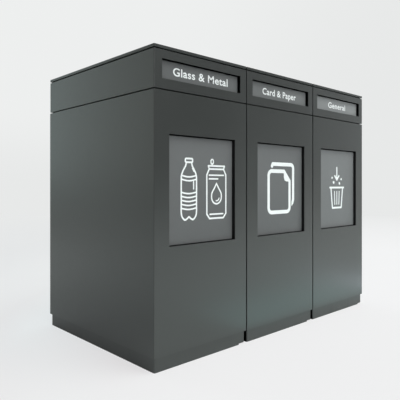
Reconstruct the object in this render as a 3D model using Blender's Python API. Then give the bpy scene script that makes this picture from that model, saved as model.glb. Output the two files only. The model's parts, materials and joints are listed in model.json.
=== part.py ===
"""Three-stream recycling station: three sheet-metal cabinets linked side by side.

Each cabinet is a separate module with its own plinth, folded body shell, header
box with a sign slot, flat lid, top-hung deposit flap, rear service door with a
quarter-turn cam lock, and a lift-out liner.

Frame: metres, +Z up, origin on the floor at the centre of the footprint.
The fronts face -Y, the rear doors face +Y, and the modules stand along X.
Left and right are as seen from the front: left is -X.
"""

import math

import bmesh
import bpy
from mathutils import Matrix, Vector

# ---------------------------------------------------------------- driving sizes

MODULES = ("bottle", "paper", "waste")      # left, centre, right
MODULE_W = 0.504                            # width of one cabinet
MODULE_GAP = 0.005                          # gap between neighbouring cabinets
PITCH = MODULE_W + MODULE_GAP
DEPTH = 0.838
HEIGHT = 1.205
HALF_W = MODULE_W / 2
FRONT, BACK = -DEPTH / 2, DEPTH / 2

SHEET = 0.0025                              # body and header sheet
BEND_R = 0.003                              # outer radius of a folded corner
BEND_STEPS = 2
MIN_R = 0.0006                              # smallest corner radius drawn
CLEAR = 0.0003                              # gap kept between fixed neighbours

PLINTH_H = 0.055
PLINTH_INSET = 0.006
PLINTH_WALL = 0.003
PLINTH_R = 0.006                            # outer radius of the plinth's corners
LIP_W, LIP_THICK = 0.022, 0.003             # inward lip round the plinth's top
BRACKET_Z = (0.0200, 0.0235)
NOTCH_W, NOTCH_H = 0.036, 0.005             # relief at the right front lower corner

PAN_BOTTOM = PLINTH_H + CLEAR
PAN_H, PAN_FLOOR, PAN_WALL = 0.022, 0.0025, 0.002
PAN_BACK = 0.3940

BODY_TOP = 1.0398
HEADER_BOTTOM = BODY_TOP + 0.0052           # shadow groove over the body
HEADER_TOP = 1.1885
LID_BOTTOM = HEADER_TOP + 0.0053            # shadow groove under the lid
GROOVE_DEPTH = 0.010
COLLAR = 0.003                              # wall of the collars in the grooves
HEADER_COLLAR_DROP, LID_COLLAR_DROP = 0.0092, 0.0125

WINDOW_HALF = 0.3614 / 2                    # flap opening in the body front
WINDOW_Z = (0.4573, 0.8802)
SLOT_HALF = 0.4284 / 2                      # sign opening in the header front
SLOT_Z = (1.0833, 1.1570)
RECESS = 0.015                              # flap and sign faces behind the front
SIGN_SIDE_GAP, SIGN_TOP_GAP = 0.0032, 0.0020
SIGN_FOLD = 0.035                           # reach of the fold along the sign's foot

FRAME_DEPTH = 0.045                         # liner frame of the flap opening
FRAME_FLANGE = 0.018
FLAP_SIDE_GAP = 0.003
FLAP_BOTTOM_GAP = 0.0025
FLAP_TOP_GAP = 0.004
FLAP_RETURN = 0.015
AXIS_BACK = 0.028                           # flap hinge line behind the front
AXIS_Z = 0.867
ROD_R, ROD_HEAD_R = 0.004, 0.0065
ROD_REACH = 0.0070                          # rod past each side of the opening
EAR_R, EAR_THICK = 0.010, 0.004
EAR_BELOW, EAR_ABOVE = 0.014, 0.0075        # ear plate about the hinge line

SPRING_TURNS, SPRING_STEPS = 3, 8           # whole turns, points in each turn
SPRING_R, SPRING_WIRE_R, SPRING_PITCH = 0.0063, 0.0007, 0.0034

REAR_FRAME_Y = BACK - 0.014                 # rear frame and door, set in 14 mm
REAR_FRAME_EDGE = 0.2295                    # half width of the rear opening
DOOR_GAP = 0.003                            # door edge to the edge of the opening
DOOR_HALF_W = REAR_FRAME_EDGE - DOOR_GAP
DOOR_Z = (0.0585, 1.0340)
DOOR_DEEP = 0.008
DOOR_WALL, DOOR_SKIN = 0.002, 0.0015
HINGE_X, HINGE_Y = -(REAR_FRAME_EDGE - DOOR_GAP / 2), 0.411
KNUCKLE_R, KNUCKLE_BORE = 0.0055, 0.0033
KNUCKLE_H = 0.040
WEB_REACH = 0.0050                          # knuckle webs past the hinge line
HINGE_Z = (0.205, 0.805)                    # lower end of each shell knuckle
PIN_R, PIN_HEAD_R = 0.003, 0.0050

LOCK_X, LOCK_Z = 0.200, 0.605
LOCK_BODY_R, LOCK_HEAD_R = 0.0085, 0.0115
CAM_Y = (0.3915, 0.3945)
CAM_REACH = 0.0375
CAM_HALF_W = 0.0075
KEY_SLOT_HALF_W, KEY_SLOT_HALF_H = 0.0009, 0.0045
KEEPER_FRONT = CAM_Y[1] + 0.0008            # the cam passes just in front of it
KEEPER_HALF_H = 0.016

LINER_HALF, LINER_WALL, LINER_R = 0.410 / 2, 0.003, 0.030
LINER_STEPS = 4
LINER_BOTTOM = PAN_BOTTOM + PAN_FLOOR + CLEAR
LINER_Y = (-0.355, 0.300)
LINER_LOW, LINER_HIGH = 0.425, 0.805        # rim height at the front and rear
LINER_SLOPE_Y = (-0.089, 0.031)             # where the rim climbs
HANDLE_Z, HANDLE_Y = 0.705, 0.311
HANDLE_HALF, HANDLE_DROP, HANDLE_R = 0.060, 0.070, 0.004
HANDLE_END = 0.018                          # wire ends past the handle's sides
HANDLE_TOP_BEND, HANDLE_LOW_BEND = 0.006, 0.010
LUG_X = (HANDLE_HALF + 0.0080, HANDLE_HALF + 0.0200)

FOOT_X, FOOT_Y = 0.205, 0.372
FOOT_PAD_R, FOOT_STEM_R = 0.019, 0.004

BOLT_Y, BOLT_Z = 0.200, 0.955
BOLT_R, BOLT_HOLE_R = 0.004, 0.0047
WASHER_R, WASHER_THICK = 0.0105, 0.0016
HEX_R = 0.0075                              # corner radius of nuts and bolt heads

ORIGIN = (0, 0, 0)
FLAP_AXIS = (0.0, FRONT + AXIS_BACK, AXIS_Z)
DOOR_AXIS = (HINGE_X, HINGE_Y, 0)
LOCK_POINT = (LOCK_X, REAR_FRAME_Y, LOCK_Z)
HANDLE_AXIS = (0, HANDLE_Y, HANDLE_Z)

SIDES = (-1, 1)                             # -X, +X
ROUND = 12                                  # facets of a small round part
BITE = 0.001                                # overlap of parts that are joined
OVERCUT = 0.010                             # cutter past the sheet it cuts

# ------------------------------------------------------------- clear the scene

for old in list(bpy.data.objects):
    bpy.data.objects.remove(old, do_unlink=True)

station = bpy.data.collections.new("recycling_station")
bpy.context.scene.collection.children.link(station)


# ------------------------------------------------------------------- materials


def material(name, colour, roughness, metallic=0.0):
    made = bpy.data.materials.new(name)
    made.use_nodes = True
    shader = made.node_tree.nodes["Principled BSDF"]
    shader.inputs["Base Color"].default_value = (*colour, 1.0)
    shader.inputs["Roughness"].default_value = roughness
    shader.inputs["Metallic"].default_value = metallic
    made.diffuse_color = (*colour, 1.0)
    return made


def metal(name, colour, roughness):
    return material(name, colour, roughness, metallic=1.0)


PAINT = material("powder_coat_charcoal", (0.060, 0.068, 0.065), roughness=0.45)
PAINT_PLINTH = material("powder_coat_plinth", (0.050, 0.056, 0.054), roughness=0.50)
PAINT_LID = material("powder_coat_lid", (0.065, 0.072, 0.070), roughness=0.45)
PAINT_FLAP = material("powder_coat_flap_grey", (0.150, 0.155, 0.155), roughness=0.50)
PAINT_SIGN = material("powder_coat_sign_grey", (0.140, 0.146, 0.146), roughness=0.50)
PAINT_DOOR = material("powder_coat_door", (0.058, 0.065, 0.062), roughness=0.45)
BLACK = material("black_frame", (0.012, 0.012, 0.012), roughness=0.60)
GALVANISED = metal("galvanised_sheet", (0.560, 0.570, 0.580), roughness=0.40)
STEEL = metal("bright_steel", (0.620, 0.620, 0.610), roughness=0.28)
ZINC = metal("zinc_plated", (0.600, 0.610, 0.600), roughness=0.35)
SPRING_STEEL = metal("spring_steel", (0.400, 0.400, 0.390), roughness=0.35)
LOCK_CHROME = metal("lock_chrome", (0.700, 0.700, 0.700), roughness=0.18)
LINER_PLASTIC = material("liner_plastic", (0.160, 0.165, 0.170), roughness=0.55)
GRIP_WIRE = metal("handle_wire", (0.640, 0.640, 0.640), roughness=0.30)
FOOT_RUBBER = material("foot_black", (0.020, 0.020, 0.020), roughness=0.75)


# ---------------------------------------------------------------- spans and outlines


def about(centre, half):
    """The span that reaches half to each side of centre."""
    return (centre - half, centre + half)


def sided(side, near, far):
    """The span between two distances from the middle, on the -1 or +1 side."""
    return tuple(sorted((side * near, side * far)))


def past(span):
    """A span run on at both ends, for a cutter."""
    return (span[0] - OVERCUT, span[1] + OVERCUT)


def mirrored(points):
    """The points across the middle, in the order that carries a run on."""
    return [(-across, along) for across, along in reversed(points)]


def arc(centre_x, centre_y, radius, start, end, steps):
    """Points of an arc, angles in degrees."""
    angles = [math.radians(start + (end - start) * i / steps) for i in range(steps + 1)]
    return [
        (centre_x + radius * math.cos(angle), centre_y + radius * math.sin(angle))
        for angle in angles
    ]


def rounded(half, front, back, radius, steps):
    """A rectangle centred on X with rounded corners, from the front left one."""
    return (
        arc(-half + radius, front + radius, radius, 180, 270, steps)
        + arc(half - radius, front + radius, radius, 270, 360, steps)
        + arc(half - radius, back - radius, radius, 0, 90, steps)
        + arc(-half + radius, back - radius, radius, 90, 180, steps)
    )


def plan(inset, radius=BEND_R, steps=BEND_STEPS):
    """The cabinet's footprint drawn in by inset, with rounded corners."""
    corner = max(radius - inset, MIN_R)
    return rounded(HALF_W - inset, FRONT + inset, BACK - inset, corner, steps)


# ------------------------------------------------------------- building blocks


def loose(mesh):
    """An object in the scene that holds a shape while it is being made."""
    made = bpy.data.objects.new("shape", mesh)
    bpy.context.scene.collection.objects.link(made)
    return made


def shape_from(work, matrix):
    """An object from a working bmesh, moved by the matrix."""
    bmesh.ops.transform(work, matrix=matrix, verts=work.verts)
    mesh = bpy.data.meshes.new("shape")
    work.to_mesh(mesh)
    work.free()
    return loose(mesh)


def box(x, y, z):
    """A block that fills a span on each axis."""
    work = bmesh.new()
    bmesh.ops.create_cube(work, size=1.0)
    size = Vector([high - low for low, high in (x, y, z)])
    middle = Vector([high + low for low, high in (x, y, z)]) / 2
    return shape_from(work, Matrix.Translation(middle) @ Matrix.Diagonal((*size, 1)))


def cylinder(radius, axis, span, centre, facets=ROUND):
    """A round bar that fills a span of the X, Y or Z axis. The other two
    coordinates are those of centre."""
    index = "XYZ".index(axis)
    start, end = Vector(centre), Vector(centre)
    start[index], end[index] = span
    along = end - start
    work = bmesh.new()
    bmesh.ops.create_cone(
        work,
        cap_ends=True,
        cap_tris=False,
        segments=facets,
        radius1=radius,
        radius2=radius,
        depth=along.length,
    )
    aim = Vector((0, 0, 1)).rotation_difference(along.normalized()).to_matrix().to_4x4()
    return shape_from(work, Matrix.Translation((start + end) / 2) @ aim)


def as_mesh(source):
    """The evaluated mesh of an object, in world space, with its caps welded on."""
    bpy.context.view_layer.update()
    graph = bpy.context.evaluated_depsgraph_get()
    mesh = bpy.data.meshes.new_from_object(source.evaluated_get(graph))
    mesh.transform(source.matrix_world)
    work = bmesh.new()
    work.from_mesh(mesh)
    bmesh.ops.remove_doubles(work, verts=work.verts, dist=1e-6)
    bmesh.ops.recalc_face_normals(work, faces=work.faces)
    work.to_mesh(mesh)
    work.free()
    mesh.materials.clear()
    bpy.data.objects.remove(source, do_unlink=True)
    return mesh


def poly_curve(points, dimensions):
    """A curve, and its one spline of straight runs through the points."""
    curve = bpy.data.curves.new("run", "CURVE")
    curve.dimensions = dimensions
    spline = curve.splines.new("POLY")
    spline.points.add(len(points) - 1)
    for point, place_on_run in zip(spline.points, points):
        point.co = (*place_on_run, 1.0)
    return curve, spline


def prism(outline, span, upright=True):
    """A flat outline given thickness: upright ones rise along Z from an XY outline,
    the others run along X from a YZ outline."""
    low, high = span
    curve, spline = poly_curve([(*point, 0.0) for point in outline], "2D")
    curve.fill_mode = "BOTH"
    curve.extrude = (high - low) / 2
    spline.use_cyclic_u = True
    made = loose(curve)
    middle = (high + low) / 2
    if upright:
        made.matrix_world = Matrix.Translation((0, 0, middle))
    else:
        turn = Matrix(((0, 0, 1, 0), (1, 0, 0, 0), (0, 1, 0, 0), (0, 0, 0, 1)))
        made.matrix_world = Matrix.Translation((middle, 0, 0)) @ turn
    return loose(as_mesh(made))


def wire(points, radius, resolution):
    """A round wire, capped at both ends, bent along the points."""
    curve, _ = poly_curve(points, "3D")
    curve.bevel_depth = radius
    curve.bevel_resolution = resolution
    curve.use_fill_caps = True
    return loose(curve)


def boolean(base, operation, others):
    """base joined with, or cut by, each of the others in turn. The others go."""
    for other in others:
        step = base.modifiers.new("boolean", "BOOLEAN")
        step.operation = operation
        step.solver = "EXACT"
        step.object = other
        base = loose(as_mesh(base))
        bpy.data.objects.remove(other, do_unlink=True)
    return base


def joined(base, *others):
    return boolean(base, "UNION", others)


def cut(base, *others):
    return boolean(base, "DIFFERENCE", others)


def ring(outer, inner, span):
    """An upright band between two outlines."""
    return cut(prism(outer, span), prism(inner, past(span)))


def piece(source, name, paint, origin=ORIGIN, smooth=30):
    """The finished mesh of a part, with its origin moved to the given point.
    Edges sharper than smooth degrees stay sharp; 0 leaves every face flat."""
    mesh = as_mesh(source)
    mesh.name = name
    mesh.transform(Matrix.Translation(-Vector(origin)))
    mesh.materials.append(paint)
    if smooth:
        mesh.shade_smooth()
        mesh.set_sharp_from_angle(angle=math.radians(smooth))
    return mesh


# ------------------------------------------------------- plinth, feet and floor pan


def plinth_plan(further):
    """The plinth's outer outline drawn in further."""
    return plan(PLINTH_INSET + further, PLINTH_R + PLINTH_INSET, steps=4)


def make_plinth():
    """A welded ring of folded channel with a foot bracket in each corner."""
    top = PLINTH_H - CLEAR
    right, front = HALF_W - PLINTH_INSET, FRONT + PLINTH_INSET
    bracket_inner, bracket_gap = 0.020, 0.0024   # from the foot, from the outer face
    base = ring(plinth_plan(0.0), plinth_plan(PLINTH_WALL), (0.0, top))
    # an inward lip round the top that carries the floor pan
    lip = ring(plinth_plan(BITE), plinth_plan(LIP_W), (top - LIP_THICK, top))
    brackets, holes = [], []
    for side in SIDES:
        for end in SIDES:
            across = sided(side, FOOT_X - bracket_inner, right - bracket_gap)
            along = sided(end, FOOT_Y - bracket_inner, BACK - PLINTH_INSET - bracket_gap)
            brackets.append(box(across, along, BRACKET_Z))
            holes.append(cylinder(
                FOOT_STEM_R + 0.0004, "Z", (0.015, 0.030), (side * FOOT_X, end * FOOT_Y, 0)
            ))
    base = joined(base, lip, *brackets)
    inward = PLINTH_WALL + 0.003
    notch_z = (-OVERCUT, NOTCH_H)
    notch = joined(
        box((right - NOTCH_W, right + OVERCUT), (front - OVERCUT, front + inward), notch_z),
        box((right - inward, right + OVERCUT), (front - OVERCUT, front + NOTCH_W), notch_z),
    )
    return piece(cut(base, notch, *holes), "plinth", PAINT_PLINTH)


def make_foot():
    """A levelling foot: a round pad on a threaded stem, wound up inside the plinth."""
    pad = cylinder(FOOT_PAD_R, "Z", (0.0010, 0.0070), ORIGIN)
    nut = cylinder(HEX_R, "Z", (0.0065, 0.0125), ORIGIN, facets=6)
    stem = cylinder(FOOT_STEM_R, "Z", (0.0120, 0.0400), ORIGIN, facets=8)
    return piece(joined(pad, nut, stem), "foot", FOOT_RUBBER)


def make_floor_pan():
    """The tray the liner stands in, with a lip the liner is lifted over."""
    side_gap = 0.0005
    half, front = HALF_W - SHEET - side_gap, FRONT + SHEET + side_gap
    tray = box(about(0, half), (front, PAN_BACK), (PAN_BOTTOM, PAN_BOTTOM + PAN_H))
    hollow = box(
        about(0, half - PAN_WALL),
        (front + PAN_WALL, PAN_BACK - PAN_WALL),
        (PAN_BOTTOM + PAN_FLOOR, PAN_BOTTOM + 0.05),
    )
    return piece(cut(tray, hollow), "floor_pan", GALVANISED, smooth=0)


# -------------------------------------------------------------- the body shell


def shell_outline():
    """Plan of the folded shell: front, two sides with hemmed rear edges, and the
    inward flanges that frame the rear opening."""
    inner_r = max(BEND_R - SHEET, MIN_R)
    inner = HALF_W - SHEET
    hem = HALF_W - 2 * SHEET
    flange_front = REAR_FRAME_Y - SHEET
    right = (
        arc(HALF_W - BEND_R, FRONT + BEND_R, BEND_R, 270, 360, BEND_STEPS)
        + [
            (HALF_W, BACK), (hem, BACK), (hem, REAR_FRAME_Y),
            (REAR_FRAME_EDGE, REAR_FRAME_Y), (REAR_FRAME_EDGE, flange_front),
            (inner, flange_front),
        ]
        + arc(inner - inner_r, FRONT + SHEET + inner_r, inner_r, 360, 270, BEND_STEPS)
    )
    # the left half starts on the inner face, where the right one ends
    return right + mirrored(right)


def with_knuckle(part, low, web_x, web_front):
    """The part with a bored hinge knuckle, joined to it by a web."""
    span = (low, low + KNUCKLE_H)
    knuckle = cylinder(KNUCKLE_R, "Z", span, DOOR_AXIS)
    web = box(web_x, (web_front, HINGE_Y), span)
    part = joined(part, knuckle, web)
    return cut(part, cylinder(KNUCKLE_BORE, "Z", past(span), DOOR_AXIS))


def make_shell(name, linked_sides):
    """The cabinet body, with the flap window, hinge knuckles and lock keeper, and a
    bolt hole in each side that is linked to a neighbour."""
    body = prism(shell_outline(), (PLINTH_H, BODY_TOP - BITE))
    # the rear flanges stop short of the header's collar
    edge = GROOVE_DEPTH - 0.0002
    collar_room = box(
        about(0, HALF_W - edge), (0.390, BACK - edge), (BODY_TOP - 0.0055, BODY_TOP + OVERCUT)
    )
    body = cut(body, collar_room)
    top_z = (BODY_TOP - SHEET - 0.0005, BODY_TOP)
    body = joined(body, ring(plan(0.0), plan(GROOVE_DEPTH - CLEAR), top_z))
    for low in HINGE_Z:
        web_x = (HINGE_X - WEB_REACH, -REAR_FRAME_EDGE)
        body = with_knuckle(body, low, web_x, REAR_FRAME_Y - 0.0015)
    keeper = box(
        (REAR_FRAME_EDGE + 0.0005, REAR_FRAME_EDGE + 0.0120),
        (KEEPER_FRONT, REAR_FRAME_Y - BITE),
        about(LOCK_Z, KEEPER_HALF_H),
    )
    body = joined(body, keeper)
    body = cut(body, box(about(0, WINDOW_HALF), about(FRONT, OVERCUT), WINDOW_Z))
    for side in linked_sides:
        hole_x = about(side * HALF_W, OVERCUT)
        body = cut(body, cylinder(BOLT_HOLE_R, "X", hole_x, (0, BOLT_Y, BOLT_Z)))
    return piece(body, name, PAINT, smooth=35)


# ---------------------------------------------------------------- header and lid


def collar(seat, drop):
    """A band that hangs down into the shadow groove from the level seat."""
    span = (seat - drop, seat + BITE)
    return ring(plan(GROOVE_DEPTH), plan(GROOVE_DEPTH + COLLAR), span)


def make_header():
    """A folded box over the body: a collar drops into the shadow groove, the front
    has the sign slot, and the top is open for the lid's collar."""
    shell = prism(plan(0.0), (HEADER_BOTTOM, HEADER_TOP))
    hollow = prism(plan(SHEET), (HEADER_BOTTOM + SHEET, HEADER_TOP - SHEET))
    mouth = prism(plan(GROOVE_DEPTH - CLEAR), about(HEADER_TOP, OVERCUT))
    slot = box(about(0, SLOT_HALF), about(FRONT, OVERCUT), SLOT_Z)
    shell = cut(shell, joined(hollow, mouth), slot)
    shell = joined(shell, collar(HEADER_BOTTOM, HEADER_COLLAR_DROP))
    return piece(shell, "header_box", PAINT, smooth=35)


def make_lid():
    """A flat lid with a collar that drops inside the header."""
    slab = prism(plan(0.0), (LID_BOTTOM, HEIGHT))
    under = prism(plan(GROOVE_DEPTH + COLLAR), (LID_BOTTOM - OVERCUT, HEIGHT - SHEET))
    lid = joined(cut(slab, under), collar(LID_BOTTOM, LID_COLLAR_DROP))
    return piece(lid, "lid", PAINT_LID, smooth=35)


def make_sign_panel():
    """The plate behind the sign slot, folded back along its foot."""
    face = FRONT + RECESS
    foot = HEADER_BOTTOM + SHEET + CLEAR
    width = about(0, SLOT_HALF - SIGN_SIDE_GAP)
    plate = box(width, (face, face + SHEET), (foot, SLOT_Z[1] - SIGN_TOP_GAP))
    fold = box(width, (face + BITE, face + SIGN_FOLD), (foot, foot + SHEET))
    return piece(joined(plate, fold), "sign_panel", PAINT_SIGN, smooth=0)


# ------------------------------------------------------------- deposit opening


def rod_holes(half, clearance):
    """Cutters for the flap rod through both sides of a part."""
    return [
        cylinder(ROD_R + clearance, "X", about(side * half, OVERCUT), FLAP_AXIS)
        for side in SIDES
    ]


def make_flap_frame():
    """The frame that lines the flap opening and carries the hinge rod."""
    bottom, top = WINDOW_Z
    front, back = FRONT + SHEET + CLEAR, FRONT + FRAME_DEPTH

    def block(margin, rear):
        width = about(0, WINDOW_HALF + margin)
        return box(width, (front, rear), (bottom - margin, top + margin))

    frame = joined(block(SHEET, back), block(FRAME_FLANGE, front + SHEET))
    through = box(about(0, WINDOW_HALF), past((front, back)), WINDOW_Z)
    frame = cut(frame, through, *rod_holes(WINDOW_HALF, 0.0003))
    return piece(frame, "flap_frame", BLACK, smooth=35)


def make_flap():
    """The push flap: a plate with folded returns and an ear at each end of the top,
    bored for the hinge rod. It hangs from the top and swings inwards."""
    half = WINDOW_HALF - FLAP_SIDE_GAP
    bottom, top = WINDOW_Z[0] + FLAP_BOTTOM_GAP, WINDOW_Z[1] - FLAP_TOP_GAP
    face = FRONT + RECESS
    return_y = (face + BITE, face + FLAP_RETURN)
    flap = box(about(0, half), (face, face + SHEET), (bottom, top))
    parts = [box(about(0, half), return_y, (bottom, bottom + SHEET))]
    for side in SIDES:
        return_x = sided(side, half - SHEET, half)
        ear_x = sided(side, half - EAR_THICK, half)
        ear_z = (AXIS_Z - EAR_BELOW, AXIS_Z + EAR_ABOVE)
        parts += [
            box(return_x, return_y, (bottom + BITE, AXIS_Z - 0.012)),
            box(ear_x, (face + BITE, FLAP_AXIS[1]), ear_z),
            cylinder(EAR_R, "X", ear_x, FLAP_AXIS, facets=16),
        ]
    flap = cut(joined(flap, *parts), *rod_holes(half, 0.0005))
    return piece(flap, "flap", PAINT_FLAP, FLAP_AXIS, smooth=35)


def make_flap_rod():
    """The hinge rod, headed at its left end, held in the frame's two sides."""
    reach = WINDOW_HALF + ROD_REACH
    rod = cylinder(ROD_R, "X", (-reach, reach), FLAP_AXIS)
    head = cylinder(ROD_HEAD_R, "X", (-reach, -WINDOW_HALF - 0.0033), FLAP_AXIS)
    return piece(joined(rod, head), "flap_rod", STEEL, FLAP_AXIS)


def make_flap_spring():
    """A torsion spring round the rod that returns the flap."""
    left = -WINDOW_HALF + 0.0125
    axis_y = FLAP_AXIS[1]
    # the first leg reaches down behind the flap plate
    path = [(left, FRONT + RECESS + SHEET + 0.0011, AXIS_Z - 0.030)]
    # whole turns and a further half
    for i in range(SPRING_TURNS * SPRING_STEPS + SPRING_STEPS // 2 + 1):
        angle = math.pi - 2 * math.pi * i / SPRING_STEPS
        path.append((
            left + SPRING_PITCH * i / SPRING_STEPS,
            axis_y + SPRING_R * math.cos(angle),
            AXIS_Z + SPRING_R * math.sin(angle),
        ))
    # the second leg runs back and down
    path.append((path[-1][0], axis_y + 0.0125, AXIS_Z - 0.0130))
    coil = wire(path, SPRING_WIRE_R, resolution=1)
    return piece(coil, "flap_spring", SPRING_STEEL, FLAP_AXIS, smooth=70)


# ------------------------------------------------------------------- rear door


def make_rear_door():
    """A shallow pan door hung on the left (-X), with a hole for the cam lock."""
    bottom, top = DOOR_Z
    front = REAR_FRAME_Y - DOOR_DEEP
    door = box(about(0, DOOR_HALF_W), (front, REAR_FRAME_Y), DOOR_Z)
    hollow = box(
        about(0, DOOR_HALF_W - DOOR_WALL),
        (front - OVERCUT, REAR_FRAME_Y - DOOR_SKIN),
        (bottom + DOOR_WALL, top - DOOR_WALL),
    )
    door = cut(door, hollow)
    for shell_low in HINGE_Z:
        web_x = (-DOOR_HALF_W, HINGE_X + WEB_REACH)
        door = with_knuckle(door, shell_low + KNUCKLE_H + CLEAR, web_x, REAR_FRAME_Y - BITE)
    lock_hole = cylinder(LOCK_BODY_R + 0.0006, "Y", about(REAR_FRAME_Y, OVERCUT), LOCK_POINT)
    return piece(cut(door, lock_hole), "rear_door", PAINT_DOOR, DOOR_AXIS, smooth=35)


def make_hinge_pin():
    """One long pin through all four knuckles, headed at the top."""
    low, high = HINGE_Z[0] - 0.004, HINGE_Z[1] + 2 * (KNUCKLE_H + CLEAR)
    pin = cylinder(PIN_R, "Z", (low, high + 0.003), DOOR_AXIS)
    head = cylinder(PIN_HEAD_R, "Z", (high, high + 0.004), DOOR_AXIS)
    return piece(joined(pin, head), "rear_hinge_pin", STEEL, DOOR_AXIS)


def make_lock_cam():
    """The turning half of the cam lock: key head, plug and cam arm. It hangs down
    when unlocked and turns a quarter turn to reach behind the rear frame."""
    face = REAR_FRAME_Y
    head = cylinder(LOCK_HEAD_R, "Y", (face + CLEAR, face + 0.0040), LOCK_POINT, facets=20)
    plug = cylinder(LOCK_BODY_R, "Y", (CAM_Y[0] - 0.0015, face + 0.002), LOCK_POINT)
    arm = box(about(LOCK_X, CAM_HALF_W), CAM_Y, (LOCK_Z - CAM_REACH, LOCK_Z + CAM_HALF_W))
    key_slot = box(
        about(LOCK_X, KEY_SLOT_HALF_W),
        (face + 0.0020, face + 0.0100),
        about(LOCK_Z, KEY_SLOT_HALF_H),
    )
    lock = cut(joined(plug, head, arm), key_slot)
    return piece(lock, "lock_cam", LOCK_CHROME, LOCK_POINT)


# ----------------------------------------------------------------------- liner


def make_liner():
    """A rigid liner, open at the top, whose rim is cut down at the front so the
    flap can swing in over it. Two lugs at the back carry the drop handle."""
    front, back = LINER_Y
    wall, beyond = LINER_WALL, 0.05
    outer = rounded(LINER_HALF, front, back, LINER_R, LINER_STEPS)
    inner = rounded(LINER_HALF - wall, front + wall, back - wall, LINER_R - wall, LINER_STEPS)
    tub = prism(outer, (LINER_BOTTOM, LINER_HIGH))
    hollow = prism(inner, (LINER_BOTTOM + wall, LINER_HIGH + OVERCUT))
    slope_front, slope_back = LINER_SLOPE_Y
    over_rim = [                                # y, z
        (front - beyond, LINER_LOW),
        (slope_front, LINER_LOW),
        (slope_back, LINER_HIGH),
        (slope_back, LINER_HIGH + beyond),
        (front - beyond, LINER_HIGH + beyond),
    ]
    tub = cut(tub, hollow, prism(over_rim, about(0, LINER_HALF + beyond), upright=False))
    for side in SIDES:
        lug_x = sided(side, *LUG_X)
        tub = joined(tub, box(lug_x, (back - BITE, HANDLE_Y + 0.009), about(HANDLE_Z, 0.010)))
        tub = cut(tub, cylinder(HANDLE_R + 0.0007, "X", past(lug_x), HANDLE_AXIS))
    return piece(tub, "liner", LINER_PLASTIC, smooth=35)


def make_liner_handle():
    """A bent wire drop handle that hangs on the back of the liner."""
    half, top_r, low_r = HANDLE_HALF, HANDLE_TOP_BEND, HANDLE_LOW_BEND
    side = (
        [(half + HANDLE_END, 0.0)]
        + arc(half + top_r, -top_r, top_r, 90, 180, 3)
        + arc(half - low_r, -HANDLE_DROP + low_r, low_r, 0, -90, 3)
    )
    path = [(x, HANDLE_Y, HANDLE_Z + z) for x, z in side + mirrored(side)]
    bail = wire(path, HANDLE_R, resolution=2)
    return piece(bail, "liner_handle", GRIP_WIRE, HANDLE_AXIS, smooth=60)


# ------------------------------------------------------------------ link bolts


def make_link_bolt():
    """A bolt and nut that clamp two neighbouring cabinets through their sides."""
    face = MODULE_GAP / 2 + SHEET + CLEAR
    shank = cylinder(BOLT_R, "X", (-face - 0.0060, face + 0.014), ORIGIN)
    washers = [
        cylinder(WASHER_R, "X", sided(side, face, face + WASHER_THICK), ORIGIN)
        for side in SIDES
    ]
    head = cylinder(HEX_R, "X", (-face - 0.0070, -face - 0.0010), ORIGIN, facets=6)
    nut = cylinder(HEX_R, "X", (face + 0.0010, face + 0.0080), ORIGIN, facets=6)
    return piece(joined(shank, *washers, head, nut), "link_bolt", ZINC)


# --------------------------------------------------------------------- assembly


def place(name, mesh, location=ORIGIN, parent=None):
    made = bpy.data.objects.new(name, mesh)
    station.objects.link(made)
    made.parent = parent
    made.location = location
    return made


shells = {
    "bottle": make_shell("body_shell_left", (1,)),
    "paper": make_shell("body_shell_middle", SIDES),
    "waste": make_shell("body_shell_right", (-1,)),
}
LOCK_ON_DOOR = (LOCK_X - HINGE_X, REAR_FRAME_Y - HINGE_Y, LOCK_Z)
# mesh, location in its parent, parent part (None is the module); parents come first
parts = (
    (make_plinth(), ORIGIN, None),
    (make_floor_pan(), ORIGIN, None),
    (make_header(), ORIGIN, None),
    (make_lid(), ORIGIN, None),
    (make_sign_panel(), ORIGIN, None),
    (make_flap_frame(), ORIGIN, None),
    (make_flap_rod(), FLAP_AXIS, None),
    (make_flap(), FLAP_AXIS, None),
    (make_flap_spring(), ORIGIN, "flap"),
    (make_hinge_pin(), DOOR_AXIS, None),
    (make_rear_door(), DOOR_AXIS, None),
    (make_lock_cam(), LOCK_ON_DOOR, "rear_door"),
    (make_liner(), ORIGIN, None),
    (make_liner_handle(), HANDLE_AXIS, "liner"),
)
foot = make_foot()
link_bolt = make_link_bolt()

for index, module in enumerate(MODULES):
    centre = place(module + "_module", None, ((index - 1) * PITCH, 0, 0))
    centre.empty_display_size = 0.05
    place(module + "_body_shell", shells[module], parent=centre)
    placed = {None: centre}
    for mesh, location, parent in parts:
        placed[mesh.name] = place(f"{module}_{mesh.name}", mesh, location, placed[parent])
    for side, across in (("left", -1), ("right", 1)):
        for end, along in (("front", -1), ("rear", 1)):
            spot = (across * FOOT_X, along * FOOT_Y, 0)
            place(f"{module}_foot_{end}_{side}", foot, spot, centre)

for side, across in (("left", -1), ("right", 1)):
    place("link_bolt_" + side, link_bolt, (across * PITCH / 2, BOLT_Y, BOLT_Z))
bpy.context.view_layer.update()
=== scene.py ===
import json
import math

import bmesh
import bpy
import numpy as np
from mathutils import Matrix, Vector


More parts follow.
